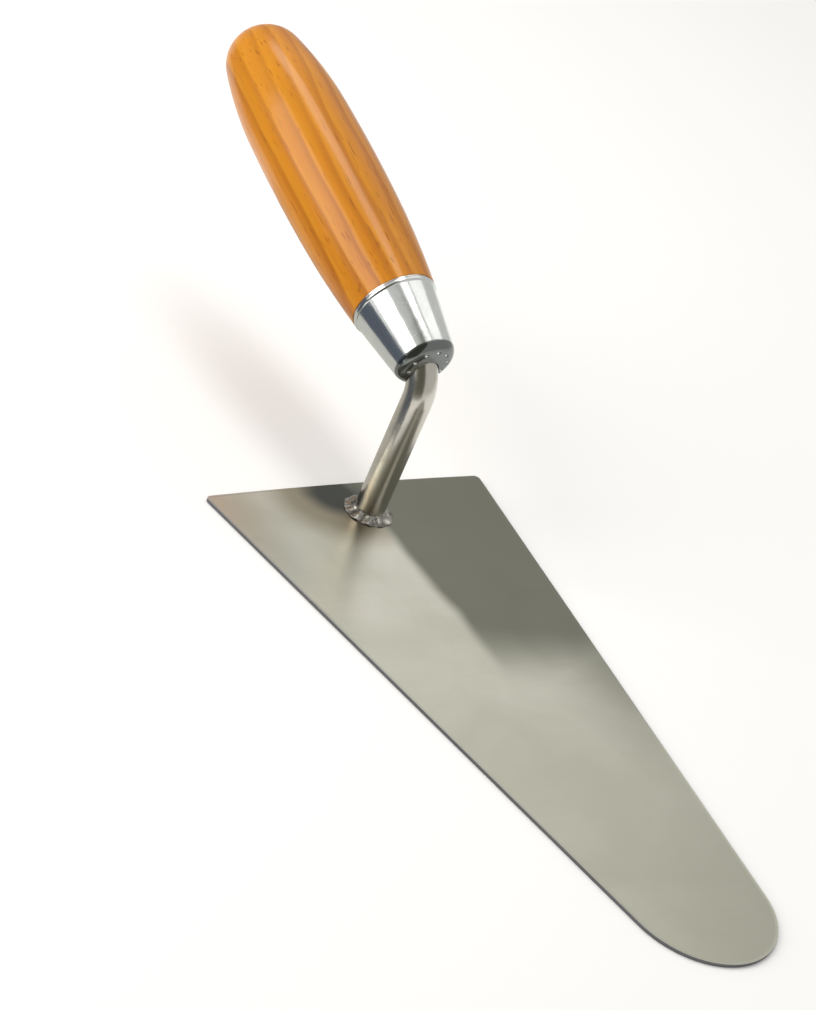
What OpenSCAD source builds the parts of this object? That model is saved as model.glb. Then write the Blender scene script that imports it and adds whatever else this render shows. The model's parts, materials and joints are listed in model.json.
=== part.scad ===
// Brick trowel with a round-tipped blade, a cranked round-bar shank welded to it,
// and a turned wooden handle held by a pressed steel ferrule.
// Frame: +X to the tip, +Z up out of the blade's top face. The origin is on the
// blade's underside, on the shank's centre line.

/* [Blade] */
// Length of the blade, heel to tip
blade_length = 220; // [160:1:270]
// Width across the heel, before its corners are rounded
heel_width = 112; // [80:1:140]
// Thickness of the sheet steel
blade_thickness = 1.2; // [0.8:0.1:2.5]
// Radius of the round tip
tip_radius = 25.6; // [14:0.1:34]
// Radius of the two heel corners
corner_radius = 1.8; // [0.5:0.1:8]
// How far the middle of the heel edge bows out
heel_bow = 1; // [0.2:0.1:4]

/* [Shank] */
// Diameter of the round bar
shank_d = 10; // [7:0.1:12]
// Distance from the heel edge to the shank's centre line
foot_setback = 14.6; // [12:0.5:30]
// Height above the blade where the shank's and the handle's centre lines cross
knee_height = 55.8; // [45:0.5:80]
// Radius of the bend, on the bar's centre line
bend_radius = 15; // [12:0.5:20]
// How steeply the handle rises towards its butt, in degrees
handle_rise = 15.5; // [5:0.5:25]
// How much the bar's diameter is dressed down to enter the wood
dressing = 0.4; // [0.2:0.1:1]
// Where the square tang begins, beyond the ferrule's mouth
tang_inset = 6; // [1:0.5:15]
// Length of the tapered square tang
tang_length = 60; // [30:1:75]
// Shoulder left outside the corners of the square tang
tang_shoulder = 0.15; // [0.05:0.05:0.5]
// Width across the tang at its end
tang_end = 3.5; // [2:0.1:5]

/* [Foot weld] */
// How far the weld bead spreads beyond the shank
weld_spread = 2; // [1.5:0.1:5]
// Height of the weld bead up the shank
weld_height = 2.2; // [1.5:0.1:3]
// Number of beads of melt round its edge
weld_beads = 10; // [5:1:12]
// Radius of one bead of melt
weld_bead_r = 1.5; // [0.8:0.1:2.5]

/* [Ferrule] */
// Distance from the knee to the ferrule's nose, along the handle
nose_setback = 1.2; // [0.5:0.1:4]
// Length of the ferrule, nose to mouth
ferrule_length = 26; // [20:0.5:36]
// Outer diameter at the mouth
mouth_d = 28; // [24:0.1:32]
// Width of the flat that the nose leaves round the shank
nose_land = 1.3; // [0.8:0.1:2]
// Radius that rounds the nose into the side
nose_radius = 4; // [2.5:0.1:5]
// Wall of the pressed steel
ferrule_wall = 0.8; // [0.5:0.1:1.2]
// Gap round the shank where it passes through the nose
nose_clearance = 0.25; // [0.1:0.05:0.5]
// Radius of the rolled rim at the mouth
rim_r = 1.1; // [0.9:0.05:1.5]
// How far the rolled rim stands proud
rim_proud = 0.2; // [0.1:0.05:0.5]
// Number of crimp dimples round the nose
crimps = 10; // [6:1:14]
// Radius of one crimp dimple
crimp_r = 1; // [0.5:0.1:1.3]
// Depth of one crimp dimple
crimp_depth = 0.4; // [0.2:0.05:0.5]
// Where the dimples sit on the nose's rounding, in degrees off its axis
crimp_angle = 8; // [4:1:50]

/* [Handle] */
// Length of the wood that shows, ferrule to butt
grip_length = 114.5; // [95:0.5:140]
// How far the wood stands proud of the ferrule where they meet
wood_proud = 0.25; // [0.05:0.05:0.8]
// How far the belly swells beyond the wood at the ferrule
belly_swell = 3.25; // [2:0.05:6]
// Length of the front taper, ferrule to belly
front_run = 35; // [20:0.5:45]
// Length of the back taper, belly to butt end
butt_run = 39.5; // [30:0.5:50]
// How much smaller the domed butt is than the belly, in radius
butt_draw = 3.9; // [2.5:0.1:6]
// Radius of the belly's own long curve
crown_radius = 620; // [350:10:1500]
// Length of the spigot inside the ferrule
spigot_length = 15; // [10:0.5:21]

/* [Hidden] */
$fn = 96;
long_arc_fn = 720;   // facets of a full circle for the long, shallow arcs
lap = 1;             // how far one stretch of a piece runs into the next
seam = 0.01;         // how far the blade's long edges sit inside its small arcs, so that they cross

// Blade outline, one half; the other half is its mirror image
heel_x = -foot_setback;
tip_x = heel_x + blade_length - tip_radius;
heel_chord_x = heel_x + heel_bow;
half_heel = heel_width / 2;
heel_arc_r = (pow(half_heel, 2) + pow(heel_bow, 2)) / (2 * heel_bow);
heel_arc_x = heel_x + heel_arc_r;
tip_run = tip_x - heel_chord_x;
taper = acos(tip_radius / norm([half_heel, tip_run])) - atan2(tip_run, half_heel);
side_normal = [sin(taper), cos(taper)];
side_dir = [cos(taper), -sin(taper)];
inset_corner = [heel_chord_x, half_heel] - corner_radius * side_normal;
from_arc = inset_corner - [heel_arc_x, 0];
corner_along = -from_arc * side_dir
    - sqrt(pow(from_arc * side_dir, 2) - from_arc * from_arc + pow(heel_arc_r - corner_radius, 2));
corner_centre = inset_corner + corner_along * side_dir;
corner_out = corner_centre - [heel_arc_x, 0];
heel_touch = corner_centre + (corner_radius - seam) * corner_out / norm(corner_out);
side_touch = corner_centre + (corner_radius - seam) * side_normal;
tip_touch = [tip_x, 0] + (tip_radius - seam) * side_normal;

// Shank and handle axis
knee_z = blade_thickness + knee_height;
turn = 90 - handle_rise;
bend_run = bend_radius * tan(turn / 2);
bend_z = round(100 * (knee_z - bend_run)) / 100;   // a round number, so bend and post meet
dressed_d = shank_d - dressing;
tang_root = (dressed_d - 2 * tang_shoulder) / sqrt(2);

// Stations along the handle's axis, measured from the knee
nose_s = nose_setback;
mouth_s = nose_s + ferrule_length;
butt_s = mouth_s + grip_length;
tang_s = mouth_s + tang_inset;

// Ferrule outline: a cone tangent to the nose's rounding
nose_arc = [shank_d / 2 + nose_land, nose_s + nose_radius];
mouth_point = [mouth_d / 2, mouth_s];
mouth_to_nose = mouth_point - nose_arc;
cone_angle = atan2(mouth_to_nose.x, mouth_to_nose.y) - asin(nose_radius / norm(mouth_to_nose));
cone_normal = [cos(cone_angle), -sin(cone_angle)];

// Handle outline: front arc, crown arc, back arc and butt dome, each tangent to the next
wood_r = mouth_d / 2 + wood_proud;
belly_r = wood_r + belly_swell;
butt_radius = belly_r - butt_draw;
crown_front_s = mouth_s + front_run;
crown_back_s = butt_s - butt_run;
crown_s = (crown_front_s + crown_back_s) / 2;
crown_half = asin((crown_back_s - crown_front_s) / 2 / crown_radius);
crown_arc = [belly_r - crown_radius, crown_s];
crown_end_r = belly_r - crown_radius * (1 - cos(crown_half));
front_normal = [cos(crown_half), -sin(crown_half)];
front_end = [crown_end_r, crown_front_s];
front_reach = [wood_r, mouth_s] - front_end;
front_radius = -(front_reach * front_reach) / (2 * front_reach * front_normal);
front_arc = front_end - front_radius * front_normal;
back_normal = [cos(crown_half), sin(crown_half)];
back_end = [crown_end_r, crown_back_s];
butt_arc = [0, butt_s - butt_radius];
butt_reach = back_end - butt_arc;
back_radius = (butt_reach * butt_reach - pow(butt_radius, 2))
    / (2 * (butt_reach * back_normal - butt_radius));
back_arc = back_end - back_radius * back_normal;
butt_dir = (butt_arc - back_arc) / norm(butt_arc - back_arc);
butt_touch_s = butt_arc.y + butt_radius * butt_dir.y;

// Puts its children in the handle's own frame: +Z runs from the knee to the butt
module along_handle() {
    translate([0, 0, knee_z])
        rotate([0, -turn, 0])
            children();
}

// The part of a disc between two stations, on the outer side of the axis
module arc_band(centre, radius, from_s, to_s) {
    intersection() {
        translate(centre) circle(r = radius, $fn = long_arc_fn);
        translate([0, from_s]) square([2 * belly_r, to_s - from_s]);
    }
}

module blade_outline() {
    polygon([
        tip_touch, side_touch, heel_touch,
        [heel_touch.x, -heel_touch.y], [side_touch.x, -side_touch.y], [tip_touch.x, -tip_touch.y]
    ]);
    translate([tip_x, 0]) circle(r = tip_radius);
    for (side = [-1, 1])
        translate([corner_centre.x, side * corner_centre.y]) circle(r = corner_radius);
    intersection() {
        translate([heel_arc_x, 0]) circle(r = heel_arc_r - seam, $fn = long_arc_fn);
        translate([heel_x - heel_bow, -heel_touch.y])
            square([heel_touch.x - heel_x + heel_bow + lap, 2 * heel_touch.y]);
    }
}

// Round bar from the blade up round the knee, grown by a clearance
module bar(clearance = 0) {
    d = shank_d + 2 * clearance;
    translate([0, 0, blade_thickness]) cylinder(d = d, h = bend_z - blade_thickness);
    translate([-bend_radius, 0, bend_z])
        rotate([90, 0, 0])
            rotate_extrude(angle = turn) translate([bend_radius, 0]) circle(d = d);
}

// One pair of the tang's tapered flats
module tang_flats() {
    rotate([90, 0, 0])
        linear_extrude(height = 2 * tang_root, center = true)
            polygon([
                [-tang_root / 2, 0], [tang_root / 2, 0],
                [tang_end / 2, tang_length + lap], [-tang_end / 2, tang_length + lap]
            ]);
}

// The bar inside the handle: a dressed neck, then a tapered square
module tang() {
    along_handle() {
        translate([0, 0, bend_run - lap]) cylinder(d = dressed_d, h = tang_s - bend_run + lap);
        translate([0, 0, tang_s - lap])
            intersection() {
                tang_flats();
                rotate([0, 0, 90]) tang_flats();
            }
    }
}

// Solid of revolution with the ferrule's shape, shrunk by an inset
module ferrule_outline(inset, from_s) {
    centre_touch = nose_arc + (nose_radius - inset) * cone_normal;
    mouth_r = mouth_point.x - inset / cone_normal.x;
    intersection() {
        union() {
            polygon([
                [0, nose_s + inset], [nose_arc.x, nose_s + inset],
                centre_touch, [mouth_r, mouth_s], [0, mouth_s]
            ]);
            translate(nose_arc) circle(r = nose_radius - inset);
        }
        translate([0, from_s]) square([mouth_d, mouth_s - from_s]);
    }
}

module handle_outline() {
    ferrule_outline(ferrule_wall, mouth_s - spigot_length);
    arc_band(front_arc, front_radius, mouth_s, crown_front_s + lap);
    arc_band(crown_arc, crown_radius, crown_front_s, crown_back_s);
    arc_band(back_arc, back_radius, crown_back_s - lap, butt_touch_s);
    arc_band(butt_arc, butt_radius, butt_touch_s - lap, butt_s);
}

module blade() {
    color([0.70, 0.69, 0.63])
        linear_extrude(height = blade_thickness) blade_outline();
}

module shank() {
    color([0.66, 0.64, 0.60]) {
        bar();
        tang();
    }
}

module foot_weld() {
    ring_r = shank_d / 2 + weld_spread - weld_height / 2;
    color([0.52, 0.51, 0.47])
        translate([0, 0, blade_thickness])
            difference() {
                union() {
                    rotate_extrude() {
                        translate([ring_r, weld_height / 2]) circle(d = weld_height);
                        square([ring_r, weld_height]);
                        square([ring_r + weld_height / 2, weld_height / 2]);
                    }
                    for (i = [0 : weld_beads - 1])
                        rotate([0, 0, i * 360 / weld_beads])
                            translate([shank_d / 2 + weld_spread, 0, weld_bead_r / 3])
                                sphere(r = weld_bead_r);
                }
                translate([0, 0, -weld_bead_r]) cylinder(d = shank_d, h = weld_height + 2 * weld_bead_r);
                translate([0, 0, -weld_bead_r])
                    cylinder(r = shank_d / 2 + weld_spread + 2 * weld_bead_r, h = weld_bead_r);
            }
}

module ferrule() {
    color([0.80, 0.82, 0.82])
        difference() {
            along_handle()
                difference() {
                    rotate_extrude() {
                        difference() {
                            union() {
                                ferrule_outline(0, nose_s);
                                translate([mouth_d / 2 + rim_proud - rim_r, mouth_s - rim_r])
                                    circle(r = rim_r);
                            }
                            ferrule_outline(ferrule_wall, nose_s + ferrule_wall);
                        }
                    }
                    for (i = [0 : crimps - 1])
                        rotate([0, 0, i * 360 / crimps])
                            translate([nose_arc.x, 0, nose_arc.y])
                                rotate([0, 180 - crimp_angle, 0])
                                    translate([0, 0, nose_radius + crimp_r - crimp_depth])
                                        sphere(r = crimp_r);
                }
            bar(nose_clearance);
        }
}

module handle() {
    color([0.84, 0.55, 0.20])
        difference() {
            along_handle() rotate_extrude() handle_outline();
            bar();
            tang();
        }
}

blade();
shank();
foot_weld();
ferrule();
handle();
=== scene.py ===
import json
import math

import bmesh
import bpy
from mathutils import Matrix, Vector, noise


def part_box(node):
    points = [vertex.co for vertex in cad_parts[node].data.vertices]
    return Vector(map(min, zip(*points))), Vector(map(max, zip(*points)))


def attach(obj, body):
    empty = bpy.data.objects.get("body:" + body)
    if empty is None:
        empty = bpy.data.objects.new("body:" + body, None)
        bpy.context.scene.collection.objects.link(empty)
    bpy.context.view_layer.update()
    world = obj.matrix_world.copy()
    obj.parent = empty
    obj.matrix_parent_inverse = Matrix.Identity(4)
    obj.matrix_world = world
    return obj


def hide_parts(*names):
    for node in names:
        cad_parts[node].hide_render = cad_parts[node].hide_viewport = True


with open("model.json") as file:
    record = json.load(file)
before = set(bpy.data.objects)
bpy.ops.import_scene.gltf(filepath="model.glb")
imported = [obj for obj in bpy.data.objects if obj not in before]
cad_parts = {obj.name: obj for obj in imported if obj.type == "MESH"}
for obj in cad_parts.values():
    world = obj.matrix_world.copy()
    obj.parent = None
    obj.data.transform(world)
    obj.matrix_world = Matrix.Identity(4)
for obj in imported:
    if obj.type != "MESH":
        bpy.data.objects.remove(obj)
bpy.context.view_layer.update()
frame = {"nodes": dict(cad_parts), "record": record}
nodes = frame["nodes"]
mounts = {mount["name"]: mount for mount in frame["record"]["mounts"]}
gripCentre = Vector(mounts["grip"]["pos_m"])
gripAxis = Vector(mounts["grip"]["axis"]).normalized()
gripTurn = math.acos(gripAxis.z)
toGrip = Matrix.Rotation(gripTurn, 4, "Y") @ Matrix.Translation(-gripCentre)


def addPiece(name, bm, smoothAngle=35):
    mesh = bpy.data.meshes.new(name)
    bm.to_mesh(mesh)
    bm.free()
    mesh.shade_smooth()
    mesh.set_sharp_from_angle(angle=math.radians(smoothAngle))
    piece = bpy.data.objects.new(name, mesh)
    bpy.context.scene.collection.objects.link(piece)
    return piece


def socketNamed(sockets, name):
    return next(socket for socket in sockets if socket.name == name and socket.enabled)


def addNode(tree, kind, **settings):
    made = tree.nodes.new(kind)
    for key, value in settings.items():
        setattr(made, key, value)
    return made


def link(tree, source, target):
    tree.links.new(source, target)


def maths(tree, operation, first, second=None, clamp=False):
    made = addNode(tree, "ShaderNodeMath", operation=operation, use_clamp=clamp)
    for slot, value in enumerate((first, second)):
        if value is None:
            continue
        if isinstance(value, (int, float)):
            made.inputs[slot].default_value = value
        else:
            link(tree, value, made.inputs[slot])
    return made.outputs[0]


def stretched(tree, vector, scales):
    made = addNode(tree, "ShaderNodeVectorMath", operation="MULTIPLY")
    link(tree, vector, made.inputs[0])
    made.inputs[1].default_value = scales
    return made.outputs[0]


def noiseOf(tree, vector, heelReflectionMask, detail=2.0, rough=0.5, distortion=0.0):
    made = addNode(tree, "ShaderNodeTexNoise")
    link(tree, vector, made.inputs["Vector"])
    made.inputs["Scale"].default_value = heelReflectionMask
    made.inputs["Detail"].default_value = detail
    made.inputs["Roughness"].default_value = rough
    made.inputs["Distortion"].default_value = distortion
    return made.outputs["Fac"]


def ramp(tree, value, stops, interpolation="EASE"):
    made = addNode(tree, "ShaderNodeValToRGB")
    made.color_ramp.interpolation = interpolation
    elements = made.color_ramp.elements
    while len(elements) < len(stops):
        elements.new(0.5)
    for element, (place, colour) in zip(elements, stops):
        element.position = place
        element.color = (*colour, 1.0)
    link(tree, value, made.inputs["Fac"])
    return made.outputs["Color"]


def blend(tree, factor, first, second, mode="MIX"):
    made = addNode(tree, "ShaderNodeMix", data_type="RGBA", blend_type=mode)
    for name, value in (("Factor", factor), ("A", first), ("B", second)):
        target = socketNamed(made.inputs, name)
        if isinstance(value, (int, float)):
            target.default_value = value
        elif isinstance(value, tuple):
            target.default_value = (*value, 1.0)
        else:
            link(tree, value, target)
    return socketNamed(made.outputs, "Result")


def rangeOf(tree, value, fromMin, fromMax, toMin, toMax):
    made = addNode(tree, "ShaderNodeMapRange")
    link(tree, value, made.inputs["Value"])
    made.inputs["From Min"].default_value = fromMin
    made.inputs["From Max"].default_value = fromMax
    made.inputs["To Min"].default_value = toMin
    made.inputs["To Max"].default_value = toMax
    return made.outputs["Result"]


def softStep(tree, value, start, end):
    made = addNode(tree, "ShaderNodeMapRange", interpolation_type="SMOOTHSTEP")
    link(tree, value, made.inputs["Value"])
    made.inputs["From Min"].default_value = start
    made.inputs["From Max"].default_value = end
    return made.outputs["Result"]


def bumpOf(tree, height, strength, distance, below=None):
    made = addNode(tree, "ShaderNodeBump")
    made.inputs["Strength"].default_value = strength
    made.inputs["Distance"].default_value = distance
    link(tree, height, made.inputs["Height"])
    if below is not None:
        link(tree, below, made.inputs["Normal"])
    return made.outputs["Normal"]


def startMaterial(name):
    material = bpy.data.materials.new(name)
    material.use_nodes = True
    tree = material.node_tree
    tree.nodes.clear()
    shader = addNode(tree, "ShaderNodeBsdfPrincipled")
    output = addNode(tree, "ShaderNodeOutputMaterial")
    link(tree, shader.outputs["BSDF"], output.inputs["Surface"])
    place = addNode(tree, "ShaderNodeTexCoord").outputs["Object"]
    return material, tree, shader, place


def useMaterial(piece, *materials):
    if len(piece.data.materials):
        piece.data.materials.clear()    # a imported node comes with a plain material
    for material in materials:
        piece.data.materials.append(material)


def startGroup(name, inputs, outputs):
    group = bpy.data.node_groups.new(name, "ShaderNodeTree")
    for label, kind, value in inputs:
        socket = group.interface.new_socket(label, in_out="INPUT", socket_type=kind)
        if value is not None:
            socket.default_value = value
    for label, kind in outputs:
        group.interface.new_socket(label, in_out="OUTPUT", socket_type=kind)
    return group, addNode(group, "NodeGroupInput"), addNode(group, "NodeGroupOutput")


def placeGroup(tree, group, vector, **values):
    made = addNode(tree, "ShaderNodeGroup", node_tree=group)
    link(tree, vector, made.inputs["Vector"])
    for key, value in values.items():
        made.inputs[key].default_value = value
    return made


def buildStreaks():
    group, given, out = startGroup(
        "streaks",
        [("Vector", "NodeSocketVector", None), ("Stretch", "NodeSocketVector", (1.0, 1.0, 1.0)),
         ("Fine", "NodeSocketFloat", 1.0)],
        [("Height", "NodeSocketFloat"), ("Mask", "NodeSocketFloat")],
    )
    lay = addNode(group, "ShaderNodeVectorMath", operation="MULTIPLY")
    link(group, given.outputs["Vector"], lay.inputs[0])
    link(group, given.outputs["Stretch"], lay.inputs[1])
    lines = addNode(group, "ShaderNodeTexNoise")
    link(group, lay.outputs[0], lines.inputs["Vector"])
    link(group, given.outputs["Fine"], lines.inputs["Scale"])
    lines.inputs["Detail"].default_value = 5.0
    lines.inputs["Roughness"].default_value = 0.65
    wide = noiseOf(group, lay.outputs[0], 0.27, detail=2.0)
    link(group, lines.outputs["Fac"], out.inputs["Height"])
    mask = maths(group, "MULTIPLY", rangeOf(group, lines.outputs["Fac"], 0.35, 0.65, 0.0, 1.0),
                 rangeOf(group, wide, 0.3, 0.7, 0.25, 1.0))
    link(group, mask, out.inputs["Mask"])
    return group


def buildSmudges():
    group, given, out = startGroup(
        "smudges",
        [("Vector", "NodeSocketVector", None), ("Size", "NodeSocketFloat", 30.0)],
        [("Mask", "NodeSocketFloat")],
    )
    cloud = addNode(group, "ShaderNodeTexNoise")
    link(group, given.outputs["Vector"], cloud.inputs["Vector"])
    link(group, given.outputs["Size"], cloud.inputs["Scale"])
    cloud.inputs["Detail"].default_value = 4.0
    cloud.inputs["Roughness"].default_value = 0.55
    cloud.inputs["Distortion"].default_value = 0.6
    link(group, rangeOf(group, cloud.outputs["Fac"], 0.32, 0.68, 0.0, 1.0), out.inputs["Mask"])
    return group


def buildHairScratches():
    group, given, out = startGroup(
        "hairScratches",
        [("Vector", "NodeSocketVector", None), ("Stretch", "NodeSocketVector", (1.0, 1.0, 1.0)),
         ("Rarity", "NodeSocketFloat", 0.7)],
        [("Mask", "NodeSocketFloat")],
    )
    lay = addNode(group, "ShaderNodeVectorMath", operation="MULTIPLY")
    link(group, given.outputs["Vector"], lay.inputs[0])
    link(group, given.outputs["Stretch"], lay.inputs[1])
    marks = noiseOf(group, lay.outputs[0], 1.0, detail=1.0, rough=0.4, distortion=0.3)
    sharp = addNode(group, "ShaderNodeMapRange", interpolation_type="SMOOTHSTEP")
    link(group, marks, sharp.inputs["Value"])
    link(group, given.outputs["Rarity"], sharp.inputs["From Min"])
    link(group, maths(group, "ADD", given.outputs["Rarity"], 0.06), sharp.inputs["From Max"])
    link(group, sharp.outputs["Result"], out.inputs["Mask"])
    return group


streaks = buildStreaks()
smudges = buildSmudges()
hairScratches = buildHairScratches()
print("shared effects ready")


blade = {
    "groundWidth": 0.0009,     # ground band along the upper edge
    "groundDrop": 0.00004,
    "underRound": 0.0002,
    "satin": 0.30,
    "crosswise": 0.85,         # how far the reflections stretch along the blade
    "tint": (0.680, 0.668, 0.585),
    "tintDeep": (0.512, 0.518, 0.428),
    "paintedTipShade": (0.440, 0.442, 0.366),      # painted shade: the face gets darker towards its tip, where its reflections fall off
    "paintedShadeTint": (0.172, 0.176, 0.138),    # painted dark reflection in the zone right of the centre line
    "heelReflectionTint": (0.048, 0.054, 0.050),    # painted dark reflection: the nearly black patch beside the weld
    "strawTint": (0.300, 0.262, 0.190),    # the brownish tone round that patch
    # the side face's dark tint is painted shade
    "edgeShadeTint": (0.170, 0.172, 0.180),
    "bandTint": (0.520, 0.518, 0.500),
    "shadeFrom": 0.0004,       # the shade starts this far right of the centre line
    "shadeTo": 0.0760,         # and ends this far ahead of the shank
    "shadeSlant": 0.28,        # how far the end of the shade leans across the blade
    "fringe": 0.72,            # strength of the paler part of the shade by the right edge
    "tipFade": (0.020, 0.190),             # where the tip's painted shade begins and is complete
    "heelReflectionCentre": (-0.0090, -0.0070),
    "heelReflectionReach": 0.0108,
    "heelReflectionSoft": 0.0045,
    "strawReach": 0.0300,
    "wander": 0.0070,          # how far the borders of the tones wander
    "weldGap": 0.000005,       # corners closer than this are merged
    "faceLines": (2600.0, 60.0, 60.0),     # fineness of the grinding lines along X, Y and Z
    "edgeLines": (400.0, 400.0, 9000.0),
    "bandLines": (900.0, 900.0, 60.0),
    "edgeSatin": 0.42,
    "bandSatin": 0.34,
}


def buildBlade():
    bm = bmesh.new()
    bm.from_mesh(nodes["blade"].data)
    bmesh.ops.remove_doubles(bm, verts=bm.verts, dist=blade["weldGap"])
    bmesh.ops.dissolve_limit(bm, angle_limit=math.radians(0.5), use_dissolve_boundaries=False,
                             verts=bm.verts, edges=bm.edges)
    bm.normal_update()
    top = max(bm.faces, key=lambda face: face.calc_center_median().z)
    bottom = min(bm.faces, key=lambda face: face.calc_center_median().z)
    outer = list(top.verts)
    bmesh.ops.inset_region(bm, faces=[top], thickness=blade["groundWidth"], depth=0.0,
                           use_even_offset=True, use_boundary=True)
    bmesh.ops.translate(bm, verts=outer, vec=(0.0, 0.0, -blade["groundDrop"]))
    bmesh.ops.bevel(bm, geom=list(bottom.edges), offset=blade["underRound"], offset_type="OFFSET",
                    affect="EDGES", segments=2, profile=0.5, material=-1)
    bm.normal_update()
    uv = bm.loops.layers.uv.new("lengthwise")
    for face in bm.faces:
        level = face.normal.z
        face.material_index = 1 if abs(level) < 0.5 else (2 if 0.5 < level < 0.9995 else 0)
        for loop in face.loops:
            loop[uv].uv = (loop.vert.co.x, loop.vert.co.y)
    bmesh.ops.triangulate(bm, faces=[face for face in bm.faces if len(face.verts) > 4])
    return addPiece("bladeSheet", bm, smoothAngle=12)


def buildSatinSteel(name, tint, tintDeep, rough, groundLines):
    material, tree, shader, place = startMaterial(name)
    cloud = placeGroup(tree, smudges, place, Size=26.0)
    brush = placeGroup(tree, streaks, place, Stretch=groundLines, Fine=1.0)
    scratch = placeGroup(tree, hairScratches, place, Stretch=(90.0, 1500.0, 1.0), Rarity=0.72)
    colour = blend(tree, maths(tree, "MULTIPLY", cloud.outputs["Mask"], 0.55), tint, tintDeep)
    colour = blend(tree, maths(tree, "MULTIPLY", brush.outputs["Mask"], 0.22), colour,
                   tuple(0.78 * part for part in tint))
    link(tree, colour, shader.inputs["Base Color"])
    shader.inputs["Metallic"].default_value = 1.0
    soft = maths(tree, "ADD", rangeOf(tree, cloud.outputs["Mask"], 0.0, 1.0, rough - 0.02, rough + 0.03),
                 maths(tree, "MULTIPLY", brush.outputs["Mask"], 0.03))
    link(tree, maths(tree, "ADD", soft, maths(tree, "MULTIPLY", scratch.outputs["Mask"], 0.06)),
         shader.inputs["Roughness"])
    wavy = bumpOf(tree, noiseOf(tree, place, 17.0, detail=1.0), 0.18, 0.0012)
    ground = bumpOf(tree, brush.outputs["Height"], 0.10, 0.00003, wavy)
    link(tree, bumpOf(tree, scratch.outputs["Mask"], 0.08, -0.00003, ground), shader.inputs["Normal"])
    return material, tree, shader


# paints shade and reflections into the blade's colour: a darker tip, a dark reflection right of the centre
# line, a nearly black reflection beside the weld, and a brownish tone round it
def tintBladeFace(tree, shader):
    place = addNode(tree, "ShaderNodeTexCoord").outputs["Object"]
    drift = addNode(tree, "ShaderNodeTexNoise")
    link(tree, place, drift.inputs["Vector"])
    drift.inputs["Scale"].default_value = 32.0
    drift.inputs["Detail"].default_value = 2.0
    wander = addNode(tree, "ShaderNodeVectorMath", operation="MULTIPLY_ADD")
    link(tree, drift.outputs["Color"], wander.inputs[0])
    wander.inputs[1].default_value = (blade["wander"], blade["wander"], 0.0)
    shifted = addNode(tree, "ShaderNodeVectorMath", operation="ADD")
    link(tree, place, shifted.inputs[0])
    shifted.inputs[1].default_value = (-blade["wander"] / 2, -blade["wander"] / 2, 0.0)
    link(tree, shifted.outputs[0], wander.inputs[2])
    apart = addNode(tree, "ShaderNodeSeparateXYZ")
    link(tree, wander.outputs[0], apart.inputs[0])
    across = softStep(tree, apart.outputs["Y"], blade["shadeFrom"] - 0.003, blade["shadeFrom"] + 0.0035)
    slant = maths(tree, "SUBTRACT", apart.outputs["X"],
                  maths(tree, "MULTIPLY", apart.outputs["Y"], blade["shadeSlant"]))
    ahead = softStep(tree, slant, blade["shadeTo"] + 0.012, blade["shadeTo"] - 0.022)
    fringe = maths(tree, "MULTIPLY", softStep(tree, apart.outputs["Y"], 0.008, 0.046),
                   softStep(tree, apart.outputs["X"], 0.140, 0.080))
    fringe = maths(tree, "MULTIPLY", fringe, blade["fringe"])
    shade = maths(tree, "MULTIPLY", across, maths(tree, "MAXIMUM", ahead, fringe))
    away = addNode(tree, "ShaderNodeVectorMath", operation="DISTANCE")
    link(tree, wander.outputs[0], away.inputs[0])
    away.inputs[1].default_value = (*blade["heelReflectionCentre"], 0.0)
    far = away.outputs["Value"]
    # where the painted dark reflection beside the weld lies
    heelReflectionMask = softStep(tree, far, blade["heelReflectionReach"] + blade["heelReflectionSoft"],
                     blade["heelReflectionReach"] - blade["heelReflectionSoft"])
    straw = softStep(tree, far, blade["strawReach"], blade["heelReflectionReach"] + 0.005)
    base = shader.inputs["Base Color"].links[0].from_socket
    left = maths(tree, "SUBTRACT", 1.0, shade)
    # painted shade: the face darkens towards its tip
    toTip = softStep(tree, apart.outputs["X"], *blade["tipFade"])
    tinted = blend(tree, maths(tree, "MULTIPLY", toTip, 0.85), base, blade["paintedTipShade"])
    tinted = blend(tree, maths(tree, "MULTIPLY", straw, maths(tree, "MULTIPLY", left, 0.95)),
                   tinted, blade["strawTint"])
    # painted dark reflection right of the centre line
    tinted = blend(tree, maths(tree, "MULTIPLY", shade, 0.96), tinted, blade["paintedShadeTint"])
    # painted dark reflection: the nearly black patch beside the weld
    tinted = blend(tree, maths(tree, "MULTIPLY", heelReflectionMask, 0.95), tinted, blade["heelReflectionTint"])
    link(tree, tinted, shader.inputs["Base Color"])


def dressBlade(piece):
    face, tree, shader = buildSatinSteel("satinBladeSteel", blade["tint"], blade["tintDeep"],
                                         blade["satin"], blade["faceLines"])
    tintBladeFace(tree, shader)
    shader.inputs["Anisotropic"].default_value = blade["crosswise"]
    lengthwise = addNode(tree, "ShaderNodeTangent", direction_type="UV_MAP", uv_map="lengthwise")
    link(tree, lengthwise.outputs["Tangent"], shader.inputs["Tangent"])
    # the side face's dark tint is painted shade
    edge = buildSatinSteel("shearedEdge", blade["edgeShadeTint"],
                           tuple(0.8 * part for part in blade["edgeShadeTint"]),
                           blade["edgeSatin"], blade["edgeLines"])[0]
    band, bandTree, bandShader = buildSatinSteel("groundBand", blade["bandTint"], blade["tintDeep"],
                                                 blade["bandSatin"], blade["bandLines"])
    # the ground band gets the same painted shade and reflections
    tintBladeFace(bandTree, bandShader)
    useMaterial(piece, face, edge, band)


bladeSheet = buildBlade()
dressBlade(bladeSheet)
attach(bladeSheet, "root")
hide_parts("blade")
print("blade ready", len(bladeSheet.data.polygons), "faces")


shank = {
    "tint": (0.66, 0.635, 0.575),
    "tintDeep": (0.50, 0.47, 0.40),
    "polish": 0.17,
    "smudgeSize": 95.0,
    "drawnLines": (2200.0, 2200.0, 45.0),  # fine lines along the upright part of the bar
}


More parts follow.
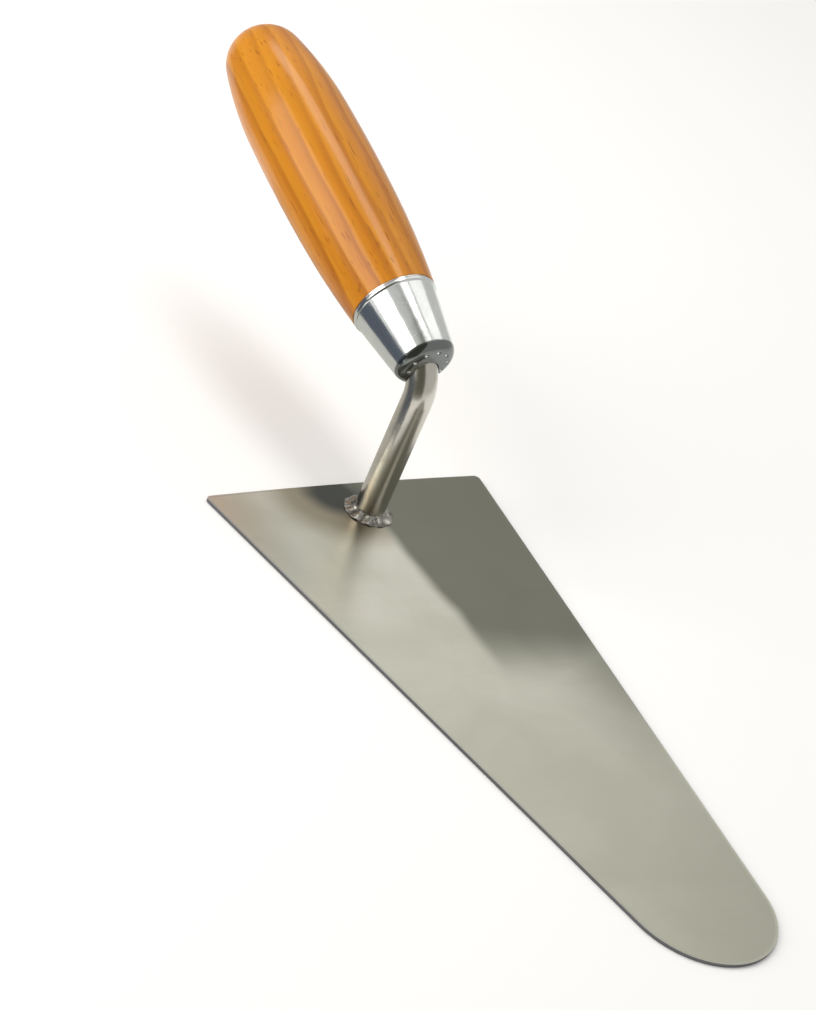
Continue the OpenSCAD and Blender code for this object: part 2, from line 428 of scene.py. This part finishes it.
def dressShank(piece):
    material, tree, shader, place = startMaterial("polishedBarSteel")
    cloud = placeGroup(tree, smudges, place, Size=shank["smudgeSize"])
    drawn = placeGroup(tree, streaks, place, Stretch=shank["drawnLines"], Fine=1.0)
    colour = blend(tree, maths(tree, "MULTIPLY", cloud.outputs["Mask"], 0.6),
                   shank["tint"], shank["tintDeep"])
    link(tree, colour, shader.inputs["Base Color"])
    shader.inputs["Metallic"].default_value = 1.0
    link(tree, maths(tree, "ADD", rangeOf(tree, cloud.outputs["Mask"], 0.0, 1.0, shank["polish"],
                                          shank["polish"] + 0.09),
                     maths(tree, "MULTIPLY", drawn.outputs["Mask"], 0.05)), shader.inputs["Roughness"])
    dents = bumpOf(tree, noiseOf(tree, place, 240.0, detail=1.0), 0.12, 0.0003)
    link(tree, bumpOf(tree, drawn.outputs["Height"], 0.12, 0.00003, dents), shader.inputs["Normal"])
    useMaterial(piece, material)


dressShank(nodes["shank"])
print("shank ready")


weld = {
    "rays": 10,                # ridges of melt that run out from the bar
    "around": 240,             # steps of the spin
    "raySwell": 0.00075,       # how far a ray stands out of the bead
    "rayPinch": 2.2,           # larger makes the rays narrower
    "ripple": 0.00022,
    "ease": 0.35,              # how much the bead is smoothed at the end
    "tint": (0.50, 0.485, 0.435),
    "heatTint": (0.050, 0.049, 0.047),
}


def buildWeld():
    low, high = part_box("foot_weld")
    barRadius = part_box("shank")[1].x
    reach = high.x - 0.00002
    level = low.z
    tall = high.z - low.z
    profile = [(barRadius - 0.0003, tall - 0.0004), (barRadius + 0.00015, tall - 0.0004),
               (barRadius + 0.0008, tall - 0.0010), (barRadius + 0.0017, 0.00085),
               (reach - 0.0007, 0.0004), (reach - 0.0002, 0.00012), (reach - 0.0003, 0.00001),
               (barRadius - 0.0003, 0.00001)]
    bm = bmesh.new()
    corners = [bm.verts.new((radius, 0.0, level + lift)) for radius, lift in profile]
    edges = [bm.edges.new((corners[i], corners[(i + 1) % len(corners)])) for i in range(len(corners))]
    bmesh.ops.spin(bm, geom=corners + edges, cent=(0, 0, 0), axis=(0, 0, 1), dvec=(0, 0, 0),
                   angle=2 * math.pi, steps=weld["around"], use_merge=True, use_duplicate=False)
    bmesh.ops.remove_doubles(bm, verts=bm.verts, dist=0.000001)
    bmesh.ops.recalc_face_normals(bm, faces=bm.faces)
    slopes = [edge for edge in bm.edges
              if abs(edge.verts[0].co.xy.length - edge.verts[1].co.xy.length) > 0.0002]
    bmesh.ops.subdivide_edges(bm, edges=slopes, cuts=3, use_grid_fill=True, smooth=0.6)
    for vert in bm.verts:
        height = vert.co.z - level
        radius = vert.co.xy.length
        if radius < barRadius or height < 0.00002:
            continue
        out = max(0.0, min(1.0, (radius - barRadius) / (reach - barRadius)))
        angle = math.atan2(vert.co.y, vert.co.x)
        drift = noise.noise(Vector((math.cos(angle) * 1.7, math.sin(angle) * 1.7, 5.0)))
        uneven = 0.8 + 0.9 * noise.noise(Vector((math.cos(angle) * 2.6, math.sin(angle) * 2.6, 9.0)))
        ray = (abs(math.cos(weld["rays"] * (angle + 0.2 * drift) / 2)) ** weld["rayPinch"] - 0.4) * uneven
        wobble = noise.noise(Vector((vert.co.x * 520, vert.co.y * 520, vert.co.z * 300)))
        hump = math.sin(math.pi * min(1.0, 0.15 + 0.85 * out)) ** 0.7
        grown = min(reach, radius + out * (0.55 * weld["raySwell"] * ray + 0.5 * weld["ripple"] * wobble))
        height += hump * (weld["raySwell"] * ray + weld["ripple"] * wobble)
        height = min(tall - 0.00004, max(0.00004, height))
        flat = vert.co.xy.normalized() * grown
        vert.co = Vector((flat.x, flat.y, level + height))
    bmesh.ops.smooth_vert(bm, verts=bm.verts, factor=weld["ease"], use_axis_x=False,
                          use_axis_y=False, use_axis_z=True)
    bm.normal_update()
    return addPiece("weldCollar", bm, smoothAngle=60)


def dressWeld(piece):
    material, tree, shader, place = startMaterial("weldMetal")
    cloud = placeGroup(tree, smudges, place, Size=420.0)
    colour = blend(tree, maths(tree, "MULTIPLY", cloud.outputs["Mask"], 0.92),
                   weld["tint"], weld["heatTint"])
    link(tree, colour, shader.inputs["Base Color"])
    shader.inputs["Metallic"].default_value = 1.0
    link(tree, rangeOf(tree, cloud.outputs["Mask"], 0.0, 1.0, 0.19, 0.38), shader.inputs["Roughness"])
    link(tree, bumpOf(tree, noiseOf(tree, place, 900.0, detail=2.0), 0.14, 0.0002), shader.inputs["Normal"])
    useMaterial(piece, material)


weldCollar = buildWeld()
dressWeld(weldCollar)
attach(weldCollar, "root")
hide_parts("foot_weld")
print("weld ready", len(weldCollar.data.polygons), "faces")


ferrule = {
    "tint": (0.80, 0.825, 0.81),
    "tintDeep": (0.62, 0.645, 0.64),
    "noseReflectionTint": (0.17, 0.185, 0.18),   # painted dark reflection: the nose is darker than the side
    "noseReach": 0.0030,
    "crimps": 10,
    "crimpRing": 0.0069,               # how far the crimps sit from the axis
    "crimpGlintTint": (0.93, 0.94, 0.92),   # painted highlights on the crimps
    "crimpSpread": (0.00085, 0.00040), # from the ring, where a crimp's painted highlight ends and is full
    "polish": 0.13,
}


def turnToGrip(tree, place):
    turned = addNode(tree, "ShaderNodeMapping", vector_type="POINT")
    link(tree, place, turned.inputs["Vector"])
    turned.inputs["Rotation"].default_value = (0.0, gripTurn, 0.0)
    turned.inputs["Location"].default_value = toGrip.to_translation()
    return turned.outputs["Vector"]


# where the crimps' painted highlights go
def crimpMask(tree, place):
    turned = turnToGrip(tree, place)
    apart = addNode(tree, "ShaderNodeSeparateXYZ")
    link(tree, turned, apart.inputs[0])
    around = maths(tree, "ARCTAN2", apart.outputs["Y"], apart.outputs["X"])
    beat = maths(tree, "COSINE", maths(tree, "MULTIPLY", around, float(ferrule["crimps"])))
    flat = stretched(tree, turned, (1.0, 1.0, 0.0))
    length = addNode(tree, "ShaderNodeVectorMath", operation="LENGTH")
    link(tree, flat, length.inputs[0])
    offRing = maths(tree, "ABSOLUTE", maths(tree, "SUBTRACT", length.outputs["Value"], ferrule["crimpRing"]))
    onRing = softStep(tree, offRing, *ferrule["crimpSpread"])
    low = min(vert.co.dot(gripAxis) for vert in nodes["ferrule"].data.vertices)
    front = softStep(tree, apart.outputs["Z"], low - gripCentre.dot(gripAxis) + 0.0030,
                     low - gripCentre.dot(gripAxis) + 0.0020)
    onCrimp = maths(tree, "MULTIPLY", softStep(tree, beat, 0.72, 0.93), onRing)
    return maths(tree, "MULTIPLY", onCrimp, front)


def dressFerrule(piece):
    material, tree, shader, place = startMaterial("brightPlate")
    cloud = placeGroup(tree, smudges, place, Size=120.0)
    scuffs = placeGroup(tree, hairScratches, place, Stretch=(500.0, 900.0, 260.0), Rarity=0.70)
    colour = blend(tree, maths(tree, "MULTIPLY", cloud.outputs["Mask"], 0.4),
                   ferrule["tint"], ferrule["tintDeep"])
    axisPlace = addNode(tree, "ShaderNodeVectorMath", operation="DOT_PRODUCT")
    link(tree, place, axisPlace.inputs[0])
    axisPlace.inputs[1].default_value = gripAxis
    noseAt = min(gripAxis.dot(Vector(vert.co)) for vert in piece.data.vertices)
    noseMask = softStep(tree, axisPlace.outputs["Value"], noseAt + ferrule["noseReach"] + 0.0005,
                        noseAt + ferrule["noseReach"] - 0.0003)
    # painted dark reflection on the nose
    colour = blend(tree, maths(tree, "MULTIPLY", noseMask, 0.95), colour, ferrule["noseReflectionTint"])
    # painted highlights on the crimps
    colour = blend(tree, crimpMask(tree, place), colour, ferrule["crimpGlintTint"])
    link(tree, colour, shader.inputs["Base Color"])
    shader.inputs["Metallic"].default_value = 1.0
    link(tree, maths(tree, "ADD", rangeOf(tree, cloud.outputs["Mask"], 0.0, 1.0, ferrule["polish"],
                                          ferrule["polish"] + 0.07),
                     maths(tree, "MULTIPLY", scuffs.outputs["Mask"], 0.12)), shader.inputs["Roughness"])
    pressed = bumpOf(tree, noiseOf(tree, place, 110.0, detail=1.0), 0.22, 0.0006)
    link(tree, bumpOf(tree, scuffs.outputs["Mask"], 0.1, -0.00003, pressed), shader.inputs["Normal"])
    useMaterial(piece, material)


dressFerrule(nodes["ferrule"])
print("ferrule ready")


handle = {
    "pale": (0.640, 0.262, 0.010),
    "middle": (0.520, 0.175, 0.002),
    "deep": (0.260, 0.060, 0.001),
    "fibre": (0.19, 0.040, 0.001),
    "lacquer": 0.15,           # roughness of the varnish
    "varnish": 0.46,           # and how much of it there is
    "ringScale": 62.0,
    "ringCentre": (0.013, 0.034, 0.0),     # the middle of the tree, beside the grip's axis
    "ringWarp": (0.011, 0.011, 0.0),
    "evenness": 0.46,          # how far the grain is evened out
    "fibreLines": (900.0, 900.0, 16.0),
    "poreLines": (1500.0, 1500.0, 110.0),
}


def dressHandle(piece):
    material, tree, shader, place = startMaterial("varnishedWood")
    along = turnToGrip(tree, place)
    warp = addNode(tree, "ShaderNodeTexNoise")
    link(tree, stretched(tree, along, (40.0, 40.0, 9.0)), warp.inputs["Vector"])
    warp.inputs["Scale"].default_value = 1.0
    warp.inputs["Detail"].default_value = 2.0
    push = addNode(tree, "ShaderNodeVectorMath", operation="MULTIPLY_ADD")
    link(tree, warp.outputs["Color"], push.inputs[0])
    push.inputs[1].default_value = handle["ringWarp"]
    centred = addNode(tree, "ShaderNodeVectorMath", operation="ADD")
    link(tree, stretched(tree, along, (1.0, 1.0, 0.05)), centred.inputs[0])
    centred.inputs[1].default_value = handle["ringCentre"]
    link(tree, centred.outputs[0], push.inputs[2])
    rings = addNode(tree, "ShaderNodeTexWave", wave_type="RINGS", rings_direction="Z", wave_profile="SAW")
    link(tree, push.outputs[0], rings.inputs["Vector"])
    rings.inputs["Scale"].default_value = handle["ringScale"]
    rings.inputs["Distortion"].default_value = 0.9
    rings.inputs["Detail"].default_value = 2.0
    rings.inputs["Detail Scale"].default_value = 1.2
    growth = ramp(tree, rings.outputs["Fac"], [(0.0, handle["pale"]), (0.45, handle["middle"]),
                                               (0.86, handle["deep"]), (1.0, handle["middle"])])
    fibre = placeGroup(tree, streaks, along, Stretch=handle["fibreLines"], Fine=1.0)
    wood = blend(tree, maths(tree, "MULTIPLY", fibre.outputs["Mask"], 0.42), growth, handle["fibre"])
    wood = blend(tree, handle["evenness"], wood, handle["middle"])
    broad = noiseOf(tree, stretched(tree, along, (55.0, 55.0, 8.0)), 1.0, detail=2.0)
    wood = blend(tree, rangeOf(tree, broad, 0.35, 0.7, 0.0, 0.5), wood, handle["pale"])
    pores = placeGroup(tree, hairScratches, along, Stretch=handle["poreLines"], Rarity=0.66)
    wood = blend(tree, maths(tree, "MULTIPLY", pores.outputs["Mask"], 0.5), wood, handle["fibre"])
    link(tree, wood, shader.inputs["Base Color"])
    shader.inputs["Specular IOR Level"].default_value = 0.12
    shader.inputs["Coat Weight"].default_value = handle["varnish"]
    shader.inputs["Coat Roughness"].default_value = handle["lacquer"]
    shader.inputs["Coat IOR"].default_value = 1.48
    link(tree, rangeOf(tree, fibre.outputs["Mask"], 0.0, 1.0, 0.34, 0.5), shader.inputs["Roughness"])
    sunk = bumpOf(tree, pores.outputs["Mask"], 0.12, -0.00006)
    link(tree, bumpOf(tree, fibre.outputs["Height"], 0.10, 0.00008, sunk), shader.inputs["Normal"])
    useMaterial(piece, material)


dressHandle(nodes["handle"])
print("handle ready")


studio = {
    "floorHalf": 4.0,
    "floorTint": (0.93, 0.93, 0.925),
    "sky": (1.0, 0.99, 0.965),
    "skyStrength": 0.60,
    "softboxes": [             # name, towards, height angle, distance, width, height, power, colour
        ("leftSoftbox", -108.0, 25.0, 0.95, 0.62, 0.68, 5.2, (1.0, 0.98, 0.95)),
        ("topSoftbox", 180.0, 72.0, 1.0, 0.26, 0.85, 3.6, (1.0, 0.99, 0.97)),
        ("sideSoftbox", 93.0, 58.0, 1.0, 0.36, 0.62, 0.45, (1.0, 0.99, 0.97)),
        ("rearSoftbox", 136.0, 42.0, 1.3, 0.90, 0.70, 0.9, (1.0, 0.99, 0.96)),
    ],
    "aimAt": Vector((-0.04, 0.0, 0.06)),
}


def addFloor():
    bm = bmesh.new()
    bmesh.ops.create_grid(bm, x_segments=2, y_segments=2, size=studio["floorHalf"])
    floor = addPiece("paleFloor", bm)
    material, _, shader, _ = startMaterial("paleFloor")
    shader.inputs["Base Color"].default_value = (*studio["floorTint"], 1.0)
    shader.inputs["Roughness"].default_value = 0.9
    shader.inputs["Specular IOR Level"].default_value = 0.1
    useMaterial(floor, material)


def addSky():
    world = bpy.data.worlds.new("studioSky")
    world.use_nodes = True
    background = world.node_tree.nodes["Background"]
    background.inputs["Color"].default_value = (*studio["sky"], 1.0)
    background.inputs["Strength"].default_value = studio["skyStrength"]
    bpy.context.scene.world = world


def aimed(place, target):
    facing = (target - place).to_track_quat("-Z", "Y").to_matrix().to_4x4()
    return Matrix.Translation(place) @ facing


def addSoftbox(name, towards, upAngle, distance, width, height, power, colour):
    flat = math.cos(math.radians(upAngle))
    way = Vector((flat * math.cos(math.radians(towards)), flat * math.sin(math.radians(towards)),
                  math.sin(math.radians(upAngle))))
    light = bpy.data.lights.new(name, "AREA")
    light.shape = "RECTANGLE"
    light.size = width
    light.size_y = height
    light.energy = power
    light.color = colour
    lamp = bpy.data.objects.new(name, light)
    lamp.matrix_world = aimed(studio["aimAt"] + way * distance, studio["aimAt"])
    bpy.context.scene.collection.objects.link(lamp)


def addFlag(name, corners, glow):
    bm = bmesh.new()
    bm.faces.new([bm.verts.new(corner) for corner in corners])
    flag = addPiece(name, bm)
    material = bpy.data.materials.new(name)
    material.use_nodes = True
    tree = material.node_tree
    tree.nodes.clear()
    lit = addNode(tree, "ShaderNodeEmission")
    lit.inputs["Color"].default_value = (*glow, 1.0)
    output = addNode(tree, "ShaderNodeOutputMaterial")
    link(tree, lit.outputs["Emission"], output.inputs["Surface"])
    useMaterial(flag, material)
    flag.visible_camera = False
    flag.visible_diffuse = False
    flag.visible_shadow = False


flags = [                      # cards that only reflections see: name, corners, colour of their glow
    ("frontFlag", [(0.02, -0.13, 0.0), (0.30, -0.09, 0.0), (0.30, -0.09, 0.60), (0.02, -0.13, 0.60)],
     (0.125, 0.125, 0.100)),
    ("lowFlag", [(0.02, -0.13, 0.0), (-0.42, -0.13, 0.0), (-0.42, -0.13, 0.150), (-0.12, -0.13, 0.060),
                 (0.02, -0.13, 0.050)], (0.10, 0.115, 0.145)),
    ("leftFloorFlag", [(0.02, -0.13, 0.0008), (0.02, -0.058, 0.0008), (-0.42, -0.058, 0.0008),
                       (-0.42, -0.13, 0.0008)], (0.10, 0.115, 0.145)),
    ("heelFloorFlag", [(-0.016, -0.058, 0.0008), (-0.016, 0.05, 0.0008), (-0.16, 0.05, 0.0008),
                       (-0.16, -0.058, 0.0008)], (0.60, 0.59, 0.54)),
]

view = {
    "place": Vector((0.56774, -0.59649, 0.49714)),
    "facing": Vector((-0.58496, 0.63095, -0.50962)),
    "upright": Vector((-0.61550, 0.06386, 0.78555)),
    "lens": 106.93,
    "sensor": 36.0,
}


def addCamera():
    facing = view["facing"].normalized()
    across = facing.cross(view["upright"]).normalized()
    upright = across.cross(facing)
    camera = bpy.data.cameras.new("studioCamera")
    camera.lens = view["lens"]
    camera.sensor_width = view["sensor"]
    camera.clip_start = 0.01
    holder = bpy.data.objects.new("studioCamera", camera)
    turn = Matrix((across, upright, -facing)).transposed().to_4x4()
    holder.matrix_world = Matrix.Translation(view["place"]) @ turn
    bpy.context.scene.collection.objects.link(holder)
    bpy.context.scene.camera = holder


addFloor()
addSky()
for softbox in studio["softboxes"]:
    addSoftbox(*softbox)
for flag in flags:
    addFlag(*flag)
addCamera()
bpy.context.scene.view_settings.view_transform = "Standard"
print("stage, light and camera ready")
